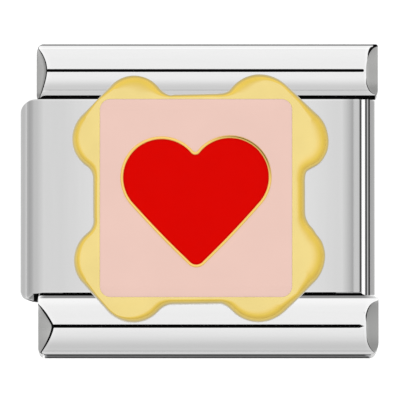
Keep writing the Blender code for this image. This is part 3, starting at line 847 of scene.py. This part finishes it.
def build_tube(name, node_name, mirrored, bottom):
    """A flat tube with one rolled side, drawn as sections from its upper to its lower edge."""
    shape = Shape()
    outer, roll, right = tube_outline(mirrored)
    half = TUBE_HEIGHT / 2
    inner = []
    for x, z in outer:
        if x < roll[0]:
            away = Vector((x - roll[0], z - roll[1])).normalized()
            inner.append((roll[0] + away.x * (half - SHEET), roll[1] + away.y * (half - SHEET)))
        else:
            inner.append((min(x, right - SHEET), min(max(z, SHEET), TUBE_HEIGHT - SHEET)))
    flip = -1 if mirrored else 1

    def tone(x, z):
        if mirrored:
            return between(BACK_TONES, x)
        return between(FACE_TONES, x) if z >= half - 0.01 else UNDERSIDE_TONE

    def top_edge(x):
        if mirrored:
            return TUBE_TOP + BACK_RISE
        return TUBE_TOP - corner_inset(x - FACE_LEFT, FACE_CORNER, FACE_CORNER)

    def bottom_edge(x):
        return TUBE_BOTTOM if mirrored else between(EAR_EDGE, x)

    def silhouette(x):
        return bottom_edge(x) if mirrored or x >= EAR_RIGHT else between(EAR_OUTLINE, x)

    def ear_inside(x):
        return min(silhouette(x) + EAR_RIM, bottom_edge(x))

    def row(outline, place, sunk=0.0, gain=1.0, stops=None):
        """Adds a section: place gives its Y for each X, and sunk moves it into the sheet."""
        points = []
        tones = []
        for (x, z), (inner_x, inner_z) in zip(outline, inner):
            aim = Vector((inner_x - x, inner_z - z))
            if aim.length:
                aim.normalize()
            slant = 0.0 if mirrored or place is top_edge else EAR_SLANT * (TUBE_HEIGHT - z)
            points.append((flip * (x + aim.x * sunk), place(x) + slant, bottom + z + aim.y * sunk))
            tones.append(tone(x, z) * gain * (between(stops, x) if stops else 1.0))
        return shape.add(points, tones)

    # The gains along the rims are painted highlights
    outside = [
        row(outer, top_edge, EDGE_SINK, 1.12),
        row(outer, lambda x: top_edge(x) - EDGE_BEVEL, gain=1.10),
        row(outer, lambda x: top_edge(x) - 2 * EDGE_BEVEL),
        row(outer, lambda x: bottom_edge(x) + 2 * EDGE_BEVEL),
        row(outer, lambda x: bottom_edge(x) + EDGE_BEVEL, gain=1.08),
    ]
    finishes = [0] * len(outside)
    if mirrored:
        outside.append(row(outer, bottom_edge, EDGE_SINK, 1.10))
    else:
        # Right of EAR_DARK the ear's hollow is dark, and its gain and tones are painted light and shade
        dark = [1 if x > EAR_DARK else 0 for x, _ in outer]
        finishes += [dark, dark, dark, 0]
        outside += [
            row(outer, bottom_edge, 0.015),
            row(outer, lambda x: bottom_edge(x) - 0.01 * (x < EAR_RIGHT), EAR_HOLLOW, 0.5),
            row(outer, ear_inside, EAR_HOLLOW, stops=EAR_HOLLOW_TONES),
            row(outer, lambda x: ear_inside(x) - 0.005 * (x < EAR_RIGHT), 0.02, stops=EAR_RIM_TONES),
            row(outer, silhouette, 0.03, stops=EAR_RIM_TONES),
        ]
    for first, second, finish in zip(outside, outside[1:], finishes):
        shape.bridge(first, second, finish)
    # The inside of the sheet is dark, as painted shade
    inside = (row(inner, top_edge), row(inner, silhouette, stops=None if mirrored else EAR_RIM_TONES))
    shape.bridge(*inside, 1)
    shape.bridge(outside[0], inside[0])
    shape.bridge(outside[-1], inside[1])
    shape.piece(name, [PLATE_STEEL, RECESS_SHADE], "tubes", node_name)


def build_leaf():
    """The strip that stands in the slot, with a rounded ridge, and a foot at its left made bright as a
    painted highlight.
    """
    shape = Shape()
    half = (LEAF_RIGHT - LEAF_LEFT) / 2
    middle = (LEAF_LEFT + LEAF_RIGHT) / 2
    foot_bottom = LEAF_FOOT_TOP - LEAF_FOOT_THICKNESS
    section = [
        (LEAF_LEFT, LEAF_BOTTOM, LEAF_SIDE_TONE),
        (LEAF_RIGHT, LEAF_BOTTOM, LEAF_SIDE_TONE),
        (LEAF_RIGHT, LEAF_TOP - LEAF_RIDGE_DROP, LEAF_SIDE_TONE),
        *[
            (x, z, between(LEAF_TONES, (x - middle) / half))
            for x, z in arc((middle, LEAF_TOP - half), half, 0, math.pi)
        ],
        (LEAF_LEFT, LEAF_FOOT_TOP - HAIR, 0.5),
        (LEAF_LEFT - 4 * HAIR, LEAF_FOOT_TOP, LEAF_FOOT_TONE),
        (LEAF_FOOT_LEFT, LEAF_FOOT_TOP, LEAF_FOOT_TONE),
        (LEAF_FOOT_LEFT, foot_bottom, LEAF_SHADE_TONE),
        (LEAF_LEFT, foot_bottom, LEAF_SHADE_TONE),
    ]
    rows = []
    for foot_end, end in ((LEAF_FOOT_END, LEAF_END), (TUBE_TOP, TUBE_TOP)):
        points = [(x, foot_end if x < LEAF_LEFT - HAIR else end, z) for x, z, _ in section]
        rows.append(shape.add(points, [tone for _, _, tone in section]))
    shape.bridge(*rows)
    for row in rows:
        shape.fill([row])
    shape.piece("spring_leaf_polished", [LEAF_STEEL], "leaf", "spring_leaf")


# The plaque
def angle_to(centre, target):
    """Direction from one point to another, in radians."""
    return math.atan2(target[1] - centre[1], target[0] - centre[0])


def turned(point, angle):
    """A flat point turned about the origin."""
    flat = Vector(point)
    flat.rotate(Matrix.Rotation(angle, 2))
    return (flat.x, flat.y)


def side_fillets(first, second, side_angle):
    """Centres of the two hollow arcs that lead from a pair of lobes into the straight side between."""
    centres = []
    for (x, y, radius), towards_middle in ((first, 1), (second, -1)):
        lobe_x, lobe_y = turned((x, y), -side_angle)
        centre_x = PLAQUE_HALF_SIDE + PLAQUE_SIDE_FILLET
        rise = math.sqrt((radius + PLAQUE_SIDE_FILLET) ** 2 - (centre_x - lobe_x) ** 2)
        centres.append(turned((centre_x, lobe_y + towards_middle * rise), side_angle))
    return centres


def touching_centre(first, second, radius):
    """Centre of a circle that touches two circles from outside, to the right of the way between them."""
    near = Vector(first[:2])
    apart = Vector(second[:2]) - near
    reach_near = first[2] + radius
    reach_far = second[2] + radius
    along = (reach_near ** 2 - reach_far ** 2 + apart.length_squared) / (2 * apart.length)
    across = math.sqrt(reach_near ** 2 - along ** 2)
    direction = apart.normalized()
    return near + direction * along + Vector((direction.y, -direction.x)) * across


def edge_arc(centre, radius, start, end, hollow):
    """Points and outward directions along an arc; a hollow arc runs clockwise round a centre outside."""
    if hollow:
        sweep = -((start - end) % (2 * math.pi))
    else:
        sweep = (end - start) % (2 * math.pi)
    count = max(2, math.ceil(abs(sweep) / ARC_STEP))
    facing = -1 if hollow else 1
    rows = []
    for step in range(count + 1):
        angle = start + sweep * step / count
        away = Vector((math.cos(angle), math.sin(angle)))
        rows.append((Vector(centre[:2]) + radius * away, facing * away))
    return rows


def plaque_edge():
    """The plaque's outline as points with their outward directions."""
    bridges = []
    for index, lobe in enumerate(LOBES):
        following = LOBES[(index + 1) % len(LOBES)]
        if index % 2 == 0:
            bridges.append(side_fillets(lobe, following, index // 2 * math.pi / 2))
        else:
            bridges.append([touching_centre(lobe, following, PLAQUE_FLANK_RADIUS)])
    edge = []
    for index, lobe in enumerate(LOBES):
        following = LOBES[(index + 1) % len(LOBES)]
        into, out_of = bridges[index][0], bridges[index][-1]
        edge += edge_arc(lobe, lobe[2], angle_to(lobe, bridges[index - 1][-1]), angle_to(lobe, into), False)
        start, end = angle_to(into, lobe), angle_to(out_of, following)
        if into is out_of:
            edge += edge_arc(into, PLAQUE_FLANK_RADIUS, start, end, True)[1:-1]
        else:
            side = index // 2 * math.pi / 2 + math.pi
            edge += edge_arc(into, PLAQUE_SIDE_FILLET, start, side, True)[1:]
            edge += edge_arc(out_of, PLAQUE_SIDE_FILLET, side, end, True)[:-1]
    offset = Vector(PLAQUE_CENTRE)
    placed = []
    for point, direction in edge:
        bearing = math.degrees(math.atan2(point.y, point.x))
        placed.append((point + offset + between(PLAQUE_SPREAD, bearing) * direction, direction))
    return placed


def heart_outline(offset):
    """The heart's outline, moved outwards by an offset: two lobes, bulging flanks, tip and notch."""
    tip = Vector((0.0, HEART_TIP_Y))
    tip_radius = HEART_TIP_RADIUS + offset
    notch_radius = HEART_NOTCH_RADIUS - offset
    right, (left_x, *left) = HEART_LOBES
    notch = touching_centre(right, (-left_x, *left), HEART_NOTCH_RADIUS)
    halves = []
    for side, (spread, height, radius) in zip((1, -1), HEART_LOBES):
        lobe = Vector((spread, height))
        spreading = math.acos((radius - HEART_TIP_RADIUS) / (tip - lobe).length)
        flank = angle_to(lobe, tip) + spreading
        centre = (side * notch.x, notch.y)
        outwards = Vector((math.cos(flank), math.sin(flank)))
        low = tip + outwards * tip_radius
        high = lobe + outwards * (radius + offset)
        half = arc(tip, tip_radius, -math.pi / 2, flank)[1:]
        for step in range(1, HEART_FLANK_STEPS):
            share = step / HEART_FLANK_STEPS
            half.append(low.lerp(high, share) + outwards * HEART_BULGE * math.sin(math.pi * share))
        half += arc(lobe, radius + offset, flank, angle_to(lobe, centre))
        start = angle_to(centre, lobe)
        sweep = (start + math.pi / 2) % (2 * math.pi)
        half += arc(centre, notch_radius, start, start - sweep)[1:]
        halves.append([(side * x, y) for x, y in half])
    right, left = halves
    lowest = [(0.0, HEART_TIP_Y - tip_radius)]
    return [(x + HEART_MIDDLE, y) for x, y in right + left[-2::-1] + lowest]


def pink_outline(outset):
    """The pink square's outline, moved outwards by an outset."""
    left = PINK_LEFT - outset + PINK_CORNER
    right = PINK_RIGHT + outset - PINK_CORNER
    low = PINK_BOTTOM - outset + PINK_CORNER
    high = PINK_TOP + outset - PINK_CORNER
    points = []
    for index, centre in enumerate(((left, low), (right, low), (right, high), (left, high))):
        start = math.pi + index * math.pi / 2
        points += arc(centre, PINK_CORNER, start, start + math.pi / 2)
    return points


def at_height(outline, z):
    """A flat outline lifted to a height."""
    return [(x, y, z) for x, y in outline]


def build_plaque():
    """The gold plaque: flat on top round the pocket, with a rounded shoulder all round."""
    shape = Shape()
    edge = plaque_edge()
    middle = Vector(PLAQUE_CENTRE)
    widths = []
    for point, _ in edge:
        beside = max(PINK_LEFT - point.x, point.x - PINK_RIGHT, 0.0)
        above = max(PINK_BOTTOM - point.y, point.y - PINK_TOP, 0.0)
        room = math.hypot(beside, above) - PLAQUE_MARGIN
        most = between(PLAQUE_SHOULDER, math.degrees(angle_to(middle, point)))
        widths.append(min(max(room, PLAQUE_SHOULDER_LEAST), most))
    count = len(edge)
    for _ in range(PLAQUE_SMOOTHING):
        widths = [
            min(widths[i], (widths[i - 1] + 2 * widths[i] + widths[(i + 1) % count]) / 4)
            for i in range(count)
        ]

    def level(inset_share, z, extra=0.0, facing_light=0.0):
        points = []
        tones = []
        for (point, direction), width in zip(edge, widths):
            inset = width * inset_share + extra
            points.append((point.x - direction.x * inset, point.y - direction.y * inset, z))
            facing = math.degrees(math.atan2(direction.y, direction.x))
            tones.append(1 + facing_light * (between(PLAQUE_FACING_LIGHT, facing) - 1))
        return shape.add(points, tones)

    rows = []
    for step in range(PLAQUE_SHOULDER_STEPS + 1):
        turn = step / PLAQUE_SHOULDER_STEPS * math.pi / 2
        drop = PLAQUE_SHOULDER_DROP * (1 - math.cos(turn))
        rows.append(level(1 - math.sin(turn), PLAQUE_FLAT - drop, facing_light=math.sin(turn)))
    for share, extra in ((1.0, 0.0), (PLAQUE_FOOT_STEP, PLAQUE_FOOT_STEP), (0.0, 1.0)):
        z = PLAQUE_UNDERSIDE + share * PLAQUE_FOOT_ROUNDING
        rows.append(level(0.0, z, extra * PLAQUE_FOOT_ROUNDING))
    shape.skin(rows)
    shape.fill([rows[-1]])

    mouth = shape.add(at_height(pink_outline(0.0), PLAQUE_FLAT))
    floor = shape.add(at_height(pink_outline(0.0), POCKET_FLOOR))
    shape.fill([rows[0], mouth])
    shape.bridge(mouth, floor)
    shape.fill([floor])
    shape.block((-BOSS_HALF_SIDE, -BOSS_HALF_SIDE, BOSS_LOW), (BOSS_HALF_SIDE, BOSS_HALF_SIDE, BOSS_HIGH))
    shape.piece("plaque_gold", [GOLD], "gold", "plaque")


def build_heart_rim():
    """The rounded gold line round the heart, with painted shade where its outer side turns up and to the
    right.
    """
    shape = Shape()
    lobe = (HEART_MIDDLE + HEART_LOBES[0][0], HEART_LOBES[0][1])
    rows = [shape.add(at_height(heart_outline(0.0), RIM_LOW))]
    for share, rise in RIM_PROFILE:
        outline = heart_outline(HEART_LINE * share)
        stripe = RIM_DARKNESS * between(RIM_DARK_ACROSS, share)
        tones = []
        for x, y in outline:
            dark = between(RIM_DARK_BEARINGS, math.degrees(angle_to(lobe, (x, y))))
            tones.append(1 - stripe * dark if x > RIM_DARK_START else 1.0)
        z = RIM_EDGE + (RIM_CREST - RIM_EDGE) * rise
        rows.append(shape.add(at_height(outline, z), tones))
    rows.append(shape.add(at_height(heart_outline(HEART_LINE), RIM_LOW)))
    shape.skin(rows + rows[:1])
    shape.piece("heart_line_gold", [RIM_GOLD], "gold")


def build_enamel():
    """The pink square round the heart's gold line, and the red heart inside it."""
    pink = Shape()
    levels = ((OVERLAP, ENAMEL_LOW), (OVERLAP, PLAQUE_FLAT - PINK_EDGE), (-PINK_EDGE, PLAQUE_FLAT - HAIR))
    outside = [pink.add(at_height(pink_outline(offset), z)) for offset, z in levels]
    inside = [pink.add(at_height(heart_outline(HEART_LINE - offset), z)) for offset, z in levels]
    for rows in (outside, inside):
        pink.skin(rows)
    for end in (-1, 0):
        pink.fill([outside[end], inside[end]])
    pink.piece("pink_enamel", [PINK], "pink", "enamel_pink")

    red = Shape()
    rows = []
    for offset, z, tone in RED_LEVELS:
        outline = heart_outline(offset)
        rows.append(red.add(at_height(outline, z), [tone] * len(outline)))
    red.skin(rows)
    red.fill([rows[-1]])
    red.fill([rows[0]])
    red.piece("red_enamel", [RED], "red", "enamel_red")


build_rail("rail_top", RAIL_TOP)
build_rail("rail_bottom", RAIL_BOTTOM)
build_tube("face_tube_polished", "face_tube", False, FACE_BACK)
build_tube("back_tube_polished", "back_tube", True, 0.0)
build_leaf()
build_plaque()
build_heart_rim()
build_enamel()


# Floor, light and camera
def build_floor():
    """A plain pale floor that glows a little, as on a light table."""
    size = FLOOR_HALF_SIDE
    corners = [(-size, -size, 0), (size, -size, 0), (size, size, 0), (-size, size, 0)]
    mesh = bpy.data.meshes.new("floor")
    mesh.from_pydata(corners, [], [range(4)])
    paper = bpy.data.materials.new("floor_paper")
    paper.use_nodes = True
    tree = paper.node_tree
    grain = noise_range(tree, noise_node(tree, (0.05, 0.05, 0.05), 3.0), 0.98, 1.0)
    fill_inputs(tree, tree.nodes["Principled BSDF"], {
        "Base Color": scaled_colour(tree, (0.5, 0.5, 0.5), grain),
        "Roughness": 0.9,
        "Specular IOR Level": 0.0,
        "Emission Color": (1, 1, 1, 1),
        "Emission Strength": FLOOR_GLOW,
    })
    mesh.materials.append(paper)
    floor = add_object("floor", mesh)
    floor.location.z = -FLOOR_DROP


def build_light():
    """Soft light from all round: bright overhead and from above the photo, dimmer at the sides."""
    world = bpy.data.worlds.new("soft_studio")
    world.use_nodes = True
    tree = world.node_tree
    place = node(tree, "ShaderNodeTexCoord")["Generated"]
    x, y, z = node(tree, "ShaderNodeSeparateXYZ", {0: place})
    squares = [math_node(tree, "MULTIPLY", value, value) for value in (x, y)]
    flat = math_node(tree, "SQRT", math_node(tree, "ADD", *squares))
    heading = math_node(tree, "DIVIDE", y, math_node(tree, "MAXIMUM", flat, 0.001))
    spread = map_node(tree, heading, -1.0, 1.0, 0.0, 1.0)
    ring = ramp_node(tree, spread, [(place, (light,) * 3) for place, light in HORIZON])
    horizon = math_node(tree, "MULTIPLY", ring, HORIZON_GAIN)
    overhead = map_node(tree, z, 0.2, 0.9, 0.0, 1.0, "SMOOTHSTEP")
    mixed = {"Factor": overhead, "A": horizon, "B": 1.0}
    strength = node(tree, "ShaderNodeMix", mixed, data_type="FLOAT")["Result"]
    fill_inputs(tree, tree.nodes["Background"], {"Color": (1, 1, 1, 1), "Strength": strength})
    bpy.context.scene.world = world


def build_camera():
    """The camera at the photo's viewing angle, with the photo's scale at the height of the face."""
    data = bpy.data.cameras.new("camera")
    data.sensor_width = SENSOR_MM
    data.lens = SENSOR_MM * CAMERA_DISTANCE / (FRAME_PIXELS / PIXELS_PER_MM)
    data.clip_start = 0.01
    data.clip_end = 5.0
    camera = add_object("camera", data)
    back = Vector((0.0, -math.sin(CAMERA_TILT), math.cos(CAMERA_TILT)))
    camera.location = (Vector(CAMERA_TARGET) + back * CAMERA_DISTANCE) * MILLIMETRE
    camera.rotation_euler = (CAMERA_TILT, 0.0, 0.0)
    bpy.context.scene.camera = camera


build_floor()
build_light()
build_camera()
bpy.context.scene.view_settings.view_transform = "Standard"
